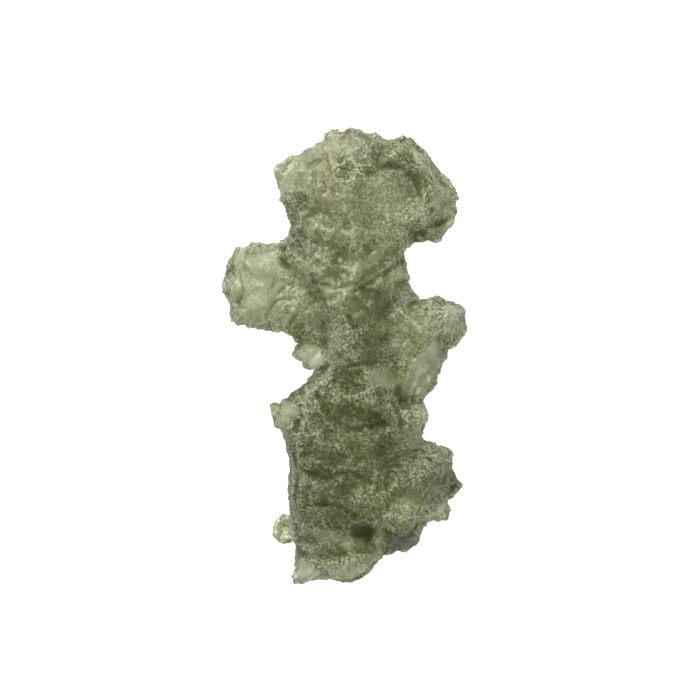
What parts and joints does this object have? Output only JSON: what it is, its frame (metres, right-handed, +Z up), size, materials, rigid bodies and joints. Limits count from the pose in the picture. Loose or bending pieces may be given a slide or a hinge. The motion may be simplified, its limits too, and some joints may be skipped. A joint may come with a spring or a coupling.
{
  "type": "raw moldavite",
  "caption": "Long, deeply etched lump of translucent olive-green natural glass with a spiky scalloped rim, side lobes and pits, lying on its broad back.",
  "frame": {"origin": "on the surface that the stone lies on, below the middle of its bounding box", "axes": "+Y along the stone towards its broad head, +X across it to the right as its face is seen, +Z up out of its face"},
  "size_m": [0.0174, 0.032, 0.0079],
  "materials": {
    "moldavite_glass": "etched natural glass, satin on the pits and glossy on the worn crests"
  },
  "bodies": {
    "root": {"moldavite": "moldavite_glass"}
  },
  "joints": []
}
